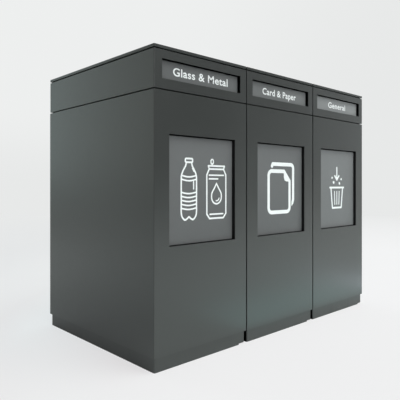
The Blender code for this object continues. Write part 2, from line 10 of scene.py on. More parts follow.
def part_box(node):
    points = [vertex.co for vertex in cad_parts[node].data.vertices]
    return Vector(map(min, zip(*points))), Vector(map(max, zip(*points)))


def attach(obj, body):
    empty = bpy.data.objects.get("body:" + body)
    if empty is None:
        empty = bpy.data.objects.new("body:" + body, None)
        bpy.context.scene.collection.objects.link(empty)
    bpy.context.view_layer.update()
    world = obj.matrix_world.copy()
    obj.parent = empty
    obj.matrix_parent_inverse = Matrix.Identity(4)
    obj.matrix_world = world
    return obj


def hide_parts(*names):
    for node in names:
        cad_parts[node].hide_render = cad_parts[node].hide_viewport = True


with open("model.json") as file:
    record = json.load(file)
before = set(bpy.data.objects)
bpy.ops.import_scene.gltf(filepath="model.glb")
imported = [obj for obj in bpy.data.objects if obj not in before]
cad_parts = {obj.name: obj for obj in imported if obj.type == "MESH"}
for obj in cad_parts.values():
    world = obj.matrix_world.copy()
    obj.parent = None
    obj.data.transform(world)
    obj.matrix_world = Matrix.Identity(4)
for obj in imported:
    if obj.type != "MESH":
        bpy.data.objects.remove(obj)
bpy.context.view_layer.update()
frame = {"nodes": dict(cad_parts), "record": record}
NODES = frame["nodes"]
BODY_OF = {
    member: body
    for body, members in frame["record"]["behaviour"]["bodies"].items()
    for member in members
}
MODULES = ("bottle", "paper", "waste")
SCENE = bpy.context.scene


# ============================================================ node material kit


class Graph:
    """A short way to build a node tree."""

    def __init__(self, tree):
        self.tree = tree

    def node(self, kind, **values):
        made = self.tree.nodes.new(kind)
        for key, value in values.items():
            setattr(made, key, value)
        return made

    def link(self, output, socket):
        self.tree.links.new(output, socket)

    def put(self, socket, value):
        """Links an output to the socket, or sets the socket to a plain value."""
        if isinstance(value, bpy.types.NodeSocket):
            self.link(value, socket)
        else:
            socket.default_value = value

    def ranged(self, value, span=(0.3, 0.7), to=(0.0, 1.0), easing="LINEAR"):
        """Maps span onto to. The default span is the middle of a noise."""
        made = self.node("ShaderNodeMapRange", interpolation_type=easing)
        self.put(made.inputs["Value"], value)
        for key, number in zip(("From Min", "From Max", "To Min", "To Max"), (*span, *to)):
            made.inputs[key].default_value = number
        return made.outputs["Result"]

    def between(self, factor, off, on):
        """off where the factor is 0, on where it is 1."""
        return self.ranged(factor, span=(0.0, 1.0), to=(off, on))

    def math(self, operation, first, second=0.0):
        made = self.node("ShaderNodeMath", operation=operation)
        self.put(made.inputs[0], first)
        self.put(made.inputs[1], second)
        return made.outputs[0]

    def plus(self, first, second):
        return self.math("ADD", first, second)

    def minus(self, first, second):
        return self.math("SUBTRACT", first, second)

    def times(self, first, second):
        return self.math("MULTIPLY", first, second)

    def scaled(self, vector, factor):
        made = self.node("ShaderNodeVectorMath", operation="SCALE")
        self.put(made.inputs[0], vector)
        self.put(made.inputs["Scale"], factor)
        return made.outputs[0]

    def split(self, vector):
        made = self.node("ShaderNodeSeparateXYZ")
        self.link(vector, made.inputs[0])
        return made.outputs


class Material(Graph):
    """A new material, with the textures it is built from."""

    def __init__(self, name):
        self.mat = bpy.data.materials.new(name)
        self.mat.use_nodes = True
        super().__init__(self.mat.node_tree)
        self.shader = self.tree.nodes["Principled BSDF"]
        coord = self.node("ShaderNodeTexCoord")
        self.place = coord.outputs["Object"]
        self.facing = coord.outputs["Normal"]

    def noise(self, scale, detail=2.0, rough=0.5, distortion=0.0, stretch=None):
        source = self.place
        if stretch is not None:
            mapping = self.node("ShaderNodeMapping")
            mapping.inputs["Scale"].default_value = stretch
            self.link(source, mapping.inputs["Vector"])
            source = mapping.outputs["Vector"]
        made = self.node("ShaderNodeTexNoise")
        self.link(source, made.inputs["Vector"])
        made.inputs["Scale"].default_value = scale
        made.inputs["Detail"].default_value = detail
        made.inputs["Roughness"].default_value = rough
        made.inputs["Distortion"].default_value = distortion
        return made.outputs["Fac"]

    def mix(self, factor, *colours):
        made = self.node("ShaderNodeMix", data_type="RGBA")
        self.put(made.inputs["Factor"], factor)
        for key, colour in zip("AB", colours):
            plain = not isinstance(colour, bpy.types.NodeSocket)
            self.put(made.inputs[key], (*colour, 1.0) if plain else colour)
        return made.outputs["Result"]

    def tones(self, noise, colour, dark, pale, span=(0.3, 0.7)):
        """A colour that wanders between a darker and a paler shade of itself."""
        return self.mix(self.ranged(noise, span), shade(colour, dark), shade(colour, pale))

    def bump(self, height, distance, strength, before=None):
        made = self.node("ShaderNodeBump")
        made.inputs["Strength"].default_value = strength
        made.inputs["Distance"].default_value = distance
        self.put(made.inputs["Height"], height)
        if before is not None:
            self.link(before, made.inputs["Normal"])
        return made.outputs["Normal"]

    def finish(self, colour, roughness, normal, **others):
        self.put(self.shader.inputs["Base Color"], colour)
        self.put(self.shader.inputs["Roughness"], roughness)
        self.link(normal, self.shader.inputs["Normal"])
        for key, value in others.items():
            self.put(self.shader.inputs[key.replace("_", " ")], value)
        return self.mat


def shade(colour, factor):
    return tuple(channel * factor for channel in colour)


# ==================================================================== materials

DUST = (0.32, 0.31, 0.29)
# painted shade: the dull black painted into the shadow grooves below a collar
COLLAR_PAINTED_SHADE = (0.003, 0.003, 0.003)
# painted shade: the dull black painted on faces across a narrow joint
JOINT_PAINTED_SHADE = (0.002, 0.002, 0.002)


def powder_coat(name, colour, roughness, specular, texture=1.0, dust=0.0, scuffs=0.0,
                collar=None, joints=(), fade=None):
    """Satin powder coat: a fine sparkle of pigment, the slow ripple of orange peel,
    small changes of gloss, a little dust on faces that look up, and rubbed marks.
    Below the height collar, the coat is painted dull black as painted shade inside the shadow
    groove, and so are the faces turned to a neighbour across the joints, as painted shade in
    the narrow gap.
    fade is (axis, (start, end), (factor at start, factor at end)): painted light, a slow change
    of brightness over one panel."""
    graph = Material(name)
    slow = graph.noise(scale=2.3, detail=3.0, rough=0.55)
    grain = graph.noise(scale=1500.0, rough=0.6)
    mid = graph.noise(scale=38.0, detail=4.0, rough=0.6)
    base = graph.tones(slow, colour, dark=0.955, pale=1.045)
    sparkle = graph.ranged(grain, span=(0.35, 0.65), to=(0.0, 0.10 * texture))
    base = graph.mix(sparkle, base, shade(colour, 1.9))
    blotches = graph.ranged(mid, span=(0.45, 0.8), to=(0.0, 0.05))
    base = graph.mix(blotches, base, shade(colour, 0.7))
    rough = graph.plus(graph.ranged(slow, to=(roughness - 0.025, roughness + 0.025)),
                       graph.ranged(mid, to=(-0.02, 0.02)))
    if scuffs:
        wipes = graph.noise(scale=9.0, detail=6.0, rough=0.65, distortion=0.4,
                            stretch=(1.0, 1.0, 0.35))
        marks = graph.ranged(wipes, span=(0.60, 0.72), to=(0.0, scuffs))
        rough = graph.plus(rough, graph.times(marks, 0.10))
        base = graph.mix(graph.times(marks, 0.14), base, shade(colour, 1.6))
    if dust:
        upward = graph.ranged(graph.split(graph.facing)[2], span=(0.55, 1.0))
        specks = graph.noise(scale=120.0, detail=5.0, rough=0.7)
        specks = graph.ranged(specks, span=(0.42, 0.75), to=(0.15, 1.0))
        film = graph.times(graph.times(upward, specks), dust)
        base = graph.mix(film, base, DUST)
        rough = graph.plus(rough, graph.times(film, 0.5))
    # painted shade: below the collar the coat is painted dull black, standing in for the shade
    # inside the groove
    if collar is not None:
        painted_shade_mask = graph.ranged(graph.split(graph.place)[2],
                              span=(collar - 0.0006, collar - 0.0001), to=(1.0, 0.0))
        base = graph.mix(painted_shade_mask, base, COLLAR_PAINTED_SHADE)
        specular = graph.between(painted_shade_mask, off=specular, on=0.08)
    # painted shade: faces turned to a neighbour within the joint gap are painted dull black,
    # standing in for the shade between the parts
    for joint in joints:
        away = graph.math("ABSOLUTE", graph.minus(graph.split(graph.place)[0], joint))
        sideways = graph.math("ABSOLUTE", graph.split(graph.facing)[0])
        turned = graph.ranged(sideways, span=(0.80, 0.90))
        near = graph.ranged(away, span=(0.0120, 0.0125), to=(1.0, 0.0))
        painted_shade_mask = graph.times(near, turned)
        base = graph.mix(painted_shade_mask, base, JOINT_PAINTED_SHADE)
        specular = graph.times(graph.between(painted_shade_mask, off=1.0, on=0.05), specular)
    # painted light: the colour is scaled slowly across the panel, paler at one end and darker
    # at the other, to even out how light falls on it
    if fade is not None:
        axis, span, factors = fade
        painted_light_factor = graph.ranged(graph.split(graph.place)[axis], span, to=factors)
        base = graph.scaled(base, painted_light_factor)
    peel = graph.noise(scale=420.0)
    normal = graph.bump(peel, distance=0.00022 * texture, strength=0.30)
    normal = graph.bump(grain, distance=0.00005 * texture, strength=0.35, before=normal)
    return graph.finish(base, rough, normal, Specular_IOR_Level=specular)


def bare_metal(name, colour, roughness, stretch=(1.0, 1.0, 1.0), spangle=0.0):
    """Drawn, plated or galvanised steel: fine drawing lines and patches of gloss."""
    graph = Material(name)
    lines = graph.noise(scale=700.0, detail=3.0, rough=0.6, stretch=stretch)
    patches = graph.noise(scale=26.0, detail=4.0, rough=0.6)
    base = graph.tones(patches, colour, dark=0.86, pale=1.06, span=(0.35, 0.7))
    scratches = graph.ranged(lines, span=(0.35, 0.65), to=(0.0, 0.18))
    base = graph.mix(scratches, base, shade(colour, 0.7))
    rough = graph.plus(graph.ranged(patches, to=(roughness - 0.05, roughness + 0.07)),
                       graph.ranged(lines, to=(-0.04, 0.05)))
    if spangle:
        cells = graph.node("ShaderNodeTexVoronoi")
        cells.inputs["Scale"].default_value = 70.0
        graph.link(graph.place, cells.inputs["Vector"])
        grey = graph.node("ShaderNodeRGBToBW")
        graph.link(cells.outputs["Color"], grey.inputs[0])
        flake = grey.outputs[0]
        base = graph.mix(graph.times(flake, spangle), base, shade(colour, 0.62))
        rough = graph.plus(rough, graph.ranged(flake, span=(0.2, 0.8), to=(-0.06, 0.08)))
    normal = graph.bump(lines, distance=0.00004, strength=0.4)
    return graph.finish(base, rough, normal, Metallic=1.0)


def moulded(name, colour, roughness, grain_scale=500.0, depth=0.00012, scuffs=0.4):
    """Moulded plastic: a pebbled grain, flow mottling and pale rub marks."""
    graph = Material(name)
    mottle = graph.noise(scale=6.0, detail=4.0, rough=0.6)
    pebble = graph.noise(scale=grain_scale, rough=0.45)
    streak = graph.noise(scale=14.0, detail=6.0, rough=0.7, distortion=0.6,
                         stretch=(1.0, 1.0, 0.2))
    base = graph.tones(mottle, colour, dark=0.9, pale=1.1)
    marks = graph.ranged(streak, span=(0.60, 0.70), to=(0.0, scuffs))
    base = graph.mix(graph.times(marks, 0.35), base, shade(colour, 1.9))
    rough = graph.plus(graph.ranged(mottle, to=(roughness - 0.04, roughness + 0.04)),
                       graph.times(marks, 0.12))
    normal = graph.bump(pebble, distance=depth, strength=0.5)
    return graph.finish(base, rough, normal, Specular_IOR_Level=0.45)


def vinyl(name, colour):
    """Cut vinyl film, as used for signs and pictograms."""
    graph = Material(name)
    mottle = graph.noise(scale=60.0, detail=3.0, rough=0.6)
    fine = graph.noise(scale=1800.0)
    base = graph.tones(mottle, colour, dark=0.97, pale=1.0)
    rough = graph.ranged(mottle, to=(0.42, 0.50))
    return graph.finish(base, rough, graph.bump(fine, distance=0.00002, strength=0.3))


CHARCOAL = (0.0268, 0.0292, 0.0280)
# the middle of each joint between two cabinets
JOINTS = [(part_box(left + "_body_shell")[1].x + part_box(right + "_body_shell")[0].x) / 2.0
          for left, right in zip(MODULES, MODULES[1:])]
BODY_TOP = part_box("paper_body_shell")[1].z
HEADER_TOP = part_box("paper_header_box")[1].z

PAINT = powder_coat("charcoal_powder_coat", CHARCOAL, roughness=0.33, specular=0.90, scuffs=0.5)
# painted shade: header and lid are painted dull black below their collars, inside the shadow
# grooves
PAINT_HEADER = powder_coat("charcoal_powder_coat_header", CHARCOAL, roughness=0.33,
                           specular=0.90, scuffs=0.5, collar=BODY_TOP + 0.0050)
PAINT_LID = powder_coat("charcoal_powder_coat_lid", CHARCOAL, roughness=0.36, specular=0.72,
                        dust=0.10, scuffs=0.6, collar=HEADER_TOP + 0.0051)
# painted shade: the plinth faces across the joints are painted dull black
PAINT_PLINTH = powder_coat("charcoal_powder_coat_plinth", shade(CHARCOAL, 0.95),
                           roughness=0.38, specular=0.85, scuffs=1.0, joints=JOINTS)
PAINT_DOOR = powder_coat("charcoal_powder_coat_door", shade(CHARCOAL, 0.97),
                         roughness=0.34, specular=0.90, scuffs=0.8)

# each panel's grey is its own colour, painted paler along the row as painted light, for
# reflections that brighten towards the right end: module, flap grey, sign grey
PANEL_GREYS_AND_PAINTED_LIGHT = (("bottle", 0.123, 0.125), ("paper", 0.127, 0.160), ("waste", 0.168, 0.250))
FLAP_TINT = (1.0, 1.018, 1.030)
SIGN_TINT = (1.0, 1.025, 1.030)
PAINT_FLAP, PAINT_SIGN = {}, {}
for module, flap_grey_and_painted_light, sign_grey_and_painted_light in PANEL_GREYS_AND_PAINTED_LIGHT:
    bottom, top = (corner.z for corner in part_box(module + "_flap"))
    left, right = (corner.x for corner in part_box(module + "_sign_panel"))
    # painted light and shade: flaps are painted paler at the top, against the shade under the
    # recess edge, and darker at the bottom, against the reflected floor
    PAINT_FLAP[module] = powder_coat(
        "grey_powder_coat_flap_" + module, shade(FLAP_TINT, flap_grey_and_painted_light), roughness=0.50,
        specular=0.45, texture=0.7, scuffs=0.5, fade=(2, (bottom, top), (0.87, 1.12)))
    # painted light: signs are painted paler towards the right end, against the shade at the end
    # of the slot
    PAINT_SIGN[module] = powder_coat(
        "grey_powder_coat_sign_" + module, shade(SIGN_TINT, sign_grey_and_painted_light), roughness=0.48,
        specular=0.45, texture=0.7, fade=(0, (left, right), (0.95, 1.13)))

BLACK = powder_coat("black_powder_coat", (0.0060, 0.0060, 0.0062), roughness=0.60,
                    specular=0.25, texture=1.2)
GALVANISED = bare_metal("galvanised_sheet", (0.50, 0.51, 0.52), roughness=0.42, spangle=0.45)
STEEL = bare_metal("bright_drawn_steel", (0.60, 0.60, 0.59), roughness=0.26,
                   stretch=(1.0, 0.1, 0.1))
ZINC = bare_metal("zinc_plate", (0.58, 0.59, 0.57), roughness=0.36, spangle=0.12)
SPRING = bare_metal("spring_wire", (0.34, 0.34, 0.33), roughness=0.34)
CHROME = bare_metal("lock_chrome", (0.68, 0.68, 0.68), roughness=0.14)
LINER = moulded("liner_polyethylene", (0.105, 0.110, 0.115), roughness=0.52)
NYLON = moulded("foot_nylon", (0.020, 0.020, 0.021), roughness=0.55, grain_scale=900.0,
                depth=0.00008, scuffs=0.8)
WHITE = vinyl("white_vinyl", (0.92, 0.93, 0.93))


# ================================================================ mesh helpers


def add(name, mesh, mat, body, replaced=None):
    piece = bpy.data.objects.new(name, mesh)
    SCENE.collection.objects.link(piece)
    mesh.materials.clear()
    mesh.materials.append(mat)
    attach(piece, body)
    if replaced:
        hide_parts(replaced)
    return piece


def soften(mesh, angle):
    mesh.shade_smooth()
    mesh.set_sharp_from_angle(angle=math.radians(angle))


def clean_copy(node):
    """The CAD node's surface as a bmesh, with its flat faces made whole."""
    solid = bmesh.new()
    solid.from_mesh(NODES[node].data)
    bmesh.ops.remove_doubles(solid, verts=solid.verts, dist=2e-6)
    bmesh.ops.dissolve_limit(
        solid, angle_limit=math.radians(0.6), verts=solid.verts, edges=solid.edges,
        use_dissolve_boundaries=False,
    )
    bmesh.ops.recalc_face_normals(solid, faces=solid.faces)
    return solid


def ease_edges(solid, width, angle=28.0):
    """Rounds the edges sharper than angle."""
    sharp = [
        edge for edge in solid.edges
        if len(edge.link_faces) == 2 and edge.calc_face_angle(0.0) > math.radians(angle)
    ]
    bmesh.ops.bevel(
        solid, geom=sharp, offset=width, offset_type="OFFSET", segments=2,
        profile=0.5, affect="EDGES", clamp_overlap=True, harden_normals=False,
    )


def refined(node, mat, width):
    """A piece with the CAD node's own shape and its sheet edges eased."""
    name = node + "_finish"
    solid = clean_copy(node)
    ease_edges(solid, width)
    mesh = bpy.data.meshes.new(name)
    solid.to_mesh(mesh)
    solid.free()
    soften(mesh, angle=40.0)
    piece = add(name, mesh, mat, BODY_OF[node], replaced=node)
    shading = piece.modifiers.new("even_shading", "WEIGHTED_NORMAL")
    shading.keep_sharp = True
    shading.weight = 100


# ================================================================== CAD pieces

for module in MODULES:
    # part, material, slot, width of the eased edge
    for part, mat, slot, width in (
        ("_body_shell", PAINT, "charcoal_paint", 0.0005),
        ("_header_box", PAINT_HEADER, "charcoal_paint", 0.0004),
        ("_lid", PAINT_LID, "charcoal_paint", 0.0004),
        ("_plinth", PAINT_PLINTH, "plinth_paint", 0.0006),
        ("_floor_pan", GALVANISED, "galvanised", 0.0005),
        ("_sign_panel", PAINT_SIGN[module], "sign_paint", 0.0005),
        ("_flap_frame", BLACK, "black_paint", 0.0005),
        ("_flap", PAINT_FLAP[module], "flap_paint", 0.0006),
        ("_rear_door", PAINT_DOOR, "charcoal_paint", 0.0005),
    ):
        refined(module + part, mat, width)

# The other pieces keep their CAD mesh. The first word found in the name decides the
# material, and a piece with none of them is bright steel.
MATERIAL_WORDS = (
    ("liner_handle", ZINC), ("liner", LINER), ("foot", NYLON),
    ("lock", CHROME), ("spring", SPRING), ("bolt", ZINC),
)
for node, piece in NODES.items():
    if not piece.hide_render:
        piece.data.materials.clear()
        piece.data.materials.append(
            next((mat for word, mat in MATERIAL_WORDS if word in node), STEEL))


# ============================================================= cut-vinyl shapes

GRID = 0.0005  # spacing of the grid the figures are merged on


def line_distance(start, end, x, z):
    """The distance from each grid point to a straight line."""
    run_x, run_z = end[0] - start[0], end[1] - start[1]
    square = run_x * run_x + run_z * run_z
    if square < 1e-14:
        return np.hypot(x - start[0], z - start[1])
    part = np.clip(((x - start[0]) * run_x + (z - start[1]) * run_z) / square, 0.0, 1.0)
    return np.hypot(x - start[0] - part * run_x, z - start[1] - part * run_z)


def outline_distance(points, x, z):
    """Signed distance to a closed outline, negative inside."""
    best = np.full(x.shape, 1.0)
    odd = np.zeros(x.shape, bool)
    for start, end in zip(points, points[1:] + points[:1]):
        best = np.minimum(best, line_distance(start, end, x, z))
        if start[1] != end[1]:
            crosses = (start[1] > z) != (end[1] > z)
            at = start[0] + (z - start[1]) * (end[0] - start[0]) / (end[1] - start[1])
            odd ^= crosses & (x < at)
    return np.where(odd, -best, best)


class Stencil:
    """A flat figure drawn with strokes and filled shapes. They are merged on a fine
    grid and traced once, so the film is a single clean sheet with rounded corners."""

    def __init__(self, low, high):
        self.low = low
        self.xs, self.zs = (
            start + GRID * np.arange(int(math.ceil((end - start) / GRID)) + 1)
            for start, end in zip(low, high))
        # signed distance to the figure, negative inside
        self.field = np.full((len(self.zs), len(self.xs)), 1.0)

    def window(self, points, reach):
        """The part of the grid round the points: its slices, and its x and z."""
        spans = []
        for axis, line in ((1, self.zs), (0, self.xs)):
            along = [point[axis] for point in points]
            first = int((min(along) - reach - self.low[axis]) / GRID) - 2
            last = int((max(along) + reach - self.low[axis]) / GRID) + 3
            spans.append(slice(max(0, first), min(len(line), last)))
        rows, columns = spans
        return (rows, columns), *np.meshgrid(self.xs[columns], self.zs[rows])

    def stroke(self, points, width, closed=False):
        ends = points + points[:1] if closed else points
        for start, end in zip(ends, ends[1:]):
            spans, x, z = self.window((start, end), width)
            near = line_distance(start, end, x, z) - width / 2
            self.field[spans] = np.minimum(self.field[spans], near)

    def stroke_pair(self, points, centre, width):
        """A stroke and its mirror image across x = centre."""
        self.stroke(points, width)
        self.stroke([(2 * centre - x, z) for x, z in points], width)

    def fill(self, points, grow):
        spans, x, z = self.window(points, 0.004 + grow)
        near = outline_distance(points, x, z) - grow
        self.field[spans] = np.minimum(self.field[spans], near)

    def clear(self, points, grow):
        """Cuts a filled shape out of what has been drawn so far."""
        spans, x, z = self.window(points, 0.004 + grow)
        near = outline_distance(points, x, z) - grow
        self.field[spans] = np.maximum(self.field[spans], -near)

    def crossing(self, start, end):
        """Where the outline cuts the grid line between two neighbouring points."""
        (row, column), (end_row, end_column) = start, end
        depth, end_depth = self.field[start], self.field[end]
        part = depth / (depth - end_depth)
        x, z = self.xs[column], self.zs[row]
        return (x + part * (self.xs[end_column] - x), z + part * (self.zs[end_row] - z))

    def loops(self):
        """The outlines of the figure."""
        self.field = np.where(np.abs(self.field) < 1e-9, 1e-9, self.field)
        inside = self.field < 0
        cells = np.argwhere(
            (inside[:-1, :-1] != inside[1:, :-1]) | (inside[:-1, :-1] != inside[:-1, 1:])
            | (inside[:-1, :-1] != inside[1:, 1:])
        )
        where, leads = {}, {}
        for j, i in cells:
            # corners in order: low-left, low-right, high-right, high-left
            corners = ((j, i), (j, i + 1), (j + 1, i + 1), (j + 1, i))
            keys = (("h", j, i), ("v", j, i + 1), ("h", j + 1, i), ("v", j, i))
            enters, leaves = [], []
            for k, key in enumerate(keys):
                here, ahead = corners[k], corners[(k + 1) % 4]
                if inside[here] != inside[ahead]:
                    where[key] = self.crossing(here, ahead)
                    (leaves if inside[here] else enters).append((k, key))
            # walking round the cell, an outline enters where the walk leaves the shape
            for k, key in leaves:
                after = min(enters, key=lambda entry: (entry[0] - k) % 4)
                leads[after[1]] = key
        loops = []
        while leads:
            start = next(iter(leads))
            at = leads.pop(start)
            loop = [start]
            while at != start:
                loop.append(at)
                at = leads.pop(at)
            loops.append([where[key] for key in loop])
        return [thinned(loop) for loop in loops if len(loop) > 8]


def thinned(loop, slack=0.000035):
    """A closed outline with the points that lie on a straight run left out."""
    points = np.array(loop)
    far = int(np.argmax(((points - points[0]) ** 2).sum(1)))
    keep = {0, far}
    stack = [(0, far), (far, len(points))]
    while stack:
        first, last = stack.pop()
        if last - first < 2:
            continue
        start, end = points[first], points[last % len(points)]
        run = end - start
        between = points[first + 1:last] - start
        size = np.hypot(*run)
        if size < 1e-12:
            off = np.hypot(between[:, 0], between[:, 1])
        else:
            off = np.abs(between[:, 0] * run[1] - between[:, 1] * run[0]) / size
        worst = int(np.argmax(off))
        if off[worst] > slack:
            middle = first + 1 + worst
            keep.add(middle)
            stack += [(first, middle), (middle, last)]
    return [tuple(points[k]) for k in sorted(keep)]


def bow(centre, radius, start, end, steps):
    """An arc between two angles in degrees."""
    angles = [math.radians(start + (end - start) * k / steps) for k in range(steps + 1)]
    return [(centre[0] + radius * math.cos(angle), centre[1] + radius * math.sin(angle))
            for angle in angles]


def rounded_box(left, bottom, right, top, radius):
    return (
        bow((right - radius, bottom + radius), radius, -90, 0, 6)
        + bow((right - radius, top - radius), radius, 0, 90, 6)
        + bow((left + radius, top - radius), radius, 90, 180, 6)
        + bow((left + radius, bottom + radius), radius, 180, 270, 6)
    )


def smooth(points, steps=8):
    """A Catmull-Rom line through the points."""
    full = [points[0], *points, points[-1]]
    line = []
    for k in range(len(points) - 1):
        before, start, end, after = (np.array(point) for point in full[k:k + 4])
        for step in range(steps):
            part = step / steps
            line.append(tuple(
                0.5 * (2 * start + (end - before) * part
                       + (2 * before - 5 * start + 4 * end - after) * part * part
                       + (3 * start - before - 3 * end + after) * part ** 3)
            ))
    return line + [tuple(full[-1])]


def swag(left, right, z, drop=0.0055, steps=12):
    """A shallow hanging line, as a rib on a round bottle looks."""
    return [(left + (right - left) * k / steps, z - drop * math.sin(math.pi * k / steps))
            for k in range(steps + 1)]


def placed(centre, *points):
    """Points given about x = 0, moved to the centre."""
    return [(centre + x, z) for x, z in points]


# In the drawings, points are (x, z) from the middle of the flap.


def draw_bottle(stencil, centre, wall, detail):
    """Screw cap, shoulders, straight waist and a two-footed base."""
    cap = rounded_box(centre - 0.0190, 0.1095, centre + 0.0190, 0.1240, radius=0.005)
    stencil.stroke(cap, wall, closed=True)
    side = smooth(placed(
        centre, (0.0150, 0.1040), (0.0185, 0.0935), (0.0300, 0.0770), (0.0382, 0.0590),
        (0.0400, 0.0400), (0.0400, -0.0500), (0.0400, -0.0850), (0.0350, -0.1040),
        (0.0220, -0.1155), (0.0110, -0.1120), (0.0, -0.1040)))
    stencil.stroke_pair(side, centre, wall)
    for reach, heights in (
        (0.0370, (0.0575, 0.0425)),
        (0.0385, (-0.0080, -0.0235, -0.0390, -0.0545, -0.0700)),
    ):
        for z in heights:
            stencil.stroke(swag(centre - reach, centre + reach, z), detail)
    glint = 0.0060
    stencil.stroke(placed(centre, (0.0245, 0.0335), (0.0245, 0.0050)), glint)
    stencil.stroke(smooth(placed(centre, (0.0190, 0.0860), (0.0265, 0.0740)), steps=3), glint)


def draw_can(stencil, centre, wall, detail):
    """Ring pull, two rims, straight wall, tapered foot and a plain drop."""
    ring = rounded_box(centre - 0.0320, 0.1060, centre - 0.0180, 0.1250, radius=0.0065)
    stencil.stroke(ring, detail, closed=True)
    for start, end in (
        ((-0.0470, 0.0985), (0.0470, 0.0985)), ((-0.0420, 0.0855), (0.0420, 0.0855)),
        ((-0.0470, 0.0985), (-0.0420, 0.0855)), ((0.0470, 0.0985), (0.0420, 0.0855)),
    ):
        stencil.stroke(placed(centre, start, end), 0.0070)
    side = placed(centre, (0.0420, 0.0855), (0.0555, 0.0620), (0.0555, -0.0985),
                  (0.0400, -0.1165), (0.0, -0.1165))
    stencil.stroke_pair(side, centre, wall)
    # level lines: left end, right end, height
    for left, right, z in (
        (-0.0420, 0.0420, 0.0605), (-0.0420, 0.0080, 0.0455), (-0.0380, 0.0380, -0.0995),
    ):
        stencil.stroke(placed(centre, (left, z), (right, z)), detail)
    middle, radius = (centre, -0.0290), 0.0285
    drop = smooth(placed(centre, (0.0, 0.0270), (0.0120, 0.0080), (0.0265, -0.0130),
                         (0.0285, -0.0290)))
    drop += bow(middle, radius, 0, -180, 18)
    drop += smooth(placed(centre, (-0.0285, -0.0290), (-0.0265, -0.0130), (-0.0120, 0.0080),
                          (0.0, 0.0270)))
    stencil.stroke(drop, 0.0066, closed=True)
    stencil.stroke(bow(middle, 0.0160, -100, -20, 8), 0.0052)


def bottle_and_can():
    stencil = Stencil((-0.150, -0.135), (0.155, 0.145))
    draw_bottle(stencil, centre=-0.0690, wall=0.0072, detail=0.0062)
    draw_can(stencil, centre=0.0835, wall=0.0072, detail=0.0062)
    return stencil.loops()


def two_sheets():
    stencil = Stencil((-0.115, -0.135), (0.135, 0.145))
    width = 0.0175
    # the sheet behind, whose near edges are hidden
    back = [(-0.0590, 0.1090), (-0.0540, 0.1185), (0.0880, 0.1185)]
    back += bow((0.0880, 0.1005), 0.0180, 90, 0, 6)
    back += [(0.1060, -0.0500), (0.1000, -0.0660), (0.0900, -0.0745)]
    stencil.stroke(back, width)
    # the sheet in front, with its upper right corner turned over
    fold = [(0.0330, 0.0855), (0.0770, 0.0390)]
    corner = 0.0220
    front = bow((0.0550, -0.0860), corner, 0, -90, 6)
    front += bow((-0.0620, -0.0860), corner, 270, 180, 6)
    front += bow((-0.0620, 0.0635), corner, 180, 90, 6)
    front += fold
    stencil.clear(front, grow=0.0155)
    stencil.stroke(front, width, closed=True)
    stencil.fill(fold + [(0.0520, 0.0400), (0.0400, 0.0440), (0.0345, 0.0560)], grow=0.0025)
    return stencil.loops()


def basket_and_scraps():
    """An open basket with slats, scraps of litter and an arrow down into it."""
    stencil = Stencil((-0.090, -0.130), (0.095, 0.140))
    wall, slat, arrow = 0.0100, 0.0072, 0.0105
    stencil.stroke(
        [(-0.0600, 0.0060), (-0.0450, -0.1040), (0.0450, -0.1040), (0.0600, 0.0060)], wall)
    stencil.stroke([(-0.0700, 0.0060), (0.0700, 0.0060)], wall)
    for x in (-0.0205, 0.0, 0.0205):
        stencil.stroke([(x * 1.18, -0.0160), (x, -0.0850)], slat)
    # five-cornered scraps: x, z, turn in degrees, size
    for x, z, turn, size in (
        (-0.0330, 0.0340, 18, 0.0082), (0.0260, 0.0290, -25, 0.0075),
        (0.0450, 0.0520, 40, 0.0066), (-0.0480, 0.0590, 52, 0.0058),
    ):
        scrap = []
        for k, far in enumerate((1.15, 0.95, 1.2, 0.9, 1.05)):
            angle = math.radians(turn + 72 * k)
            scrap.append((x + size * far * math.cos(angle), z + size * far * math.sin(angle)))
        stencil.fill(scrap, grow=0.0008)
    stencil.stroke([(0.0, 0.1150), (0.0, 0.0560)], arrow)
    stencil.stroke([(-0.0210, 0.0700), (0.0, 0.0480), (0.0210, 0.0700)], arrow)
    return stencil.loops()


# ============================================================ pictograms, words

FILM = 0.00016  # thickness of the vinyl
FILM_GAP = 0.00005  # between the vinyl and the panel behind it
WORDS_DROP = 0.0502  # from the top of the sign panel to the foot of the capitals
CAPITAL_HEIGHT = 0.7295  # of the font, at size 1
DRAWINGS = {"bottle": bottle_and_can, "paper": two_sheets, "waste": basket_and_scraps}
# what each sign says, how wide the line is and how tall its capitals are
WORDS = {
    "bottle": ("Glass & Metal", 0.300, 0.0320),
    "paper": ("Card & Paper", 0.256, 0.0305),
    "waste": ("General", 0.174, 0.0310),
}


def stood_up(curve, name):
    """The mesh of a flat curve or text, turned to face -Y, with its caps welded on."""
    holder = bpy.data.objects.new(name + "_outline", curve)
    SCENE.collection.objects.link(holder)
    bpy.context.view_layer.update()
    graph = bpy.context.evaluated_depsgraph_get()
    mesh = bpy.data.meshes.new_from_object(holder.evaluated_get(graph))
    bpy.data.objects.remove(holder)
    bpy.data.curves.remove(curve)
    mesh.transform(Matrix.Rotation(math.radians(90.0), 4, "X"))
    sheet = bmesh.new()
    sheet.from_mesh(mesh)
    bmesh.ops.remove_doubles(sheet, verts=sheet.verts, dist=1e-6)
    bmesh.ops.dissolve_degenerate(sheet, dist=1e-7, edges=sheet.edges)
    bmesh.ops.recalc_face_normals(sheet, faces=sheet.faces)
    sheet.to_mesh(mesh)
    sheet.free()
    mesh.name = name
    soften(mesh, angle=30.0)
    return mesh


def flat_film(name, loops):
    """A thin sheet with these outlines, face towards -Y; inner outlines are holes."""
    curve = bpy.data.curves.new(name, "CURVE")
    curve.dimensions = "2D"
    curve.fill_mode = "BOTH"
    curve.extrude = FILM / 2
    for loop in loops:
        spline = curve.splines.new("POLY")
        spline.points.add(len(loop) - 1)
        for point, (x, z) in zip(spline.points, loop):
            point.co = (x, z, 0.0, 1.0)
        spline.use_cyclic_u = True
    return stood_up(curve, name)


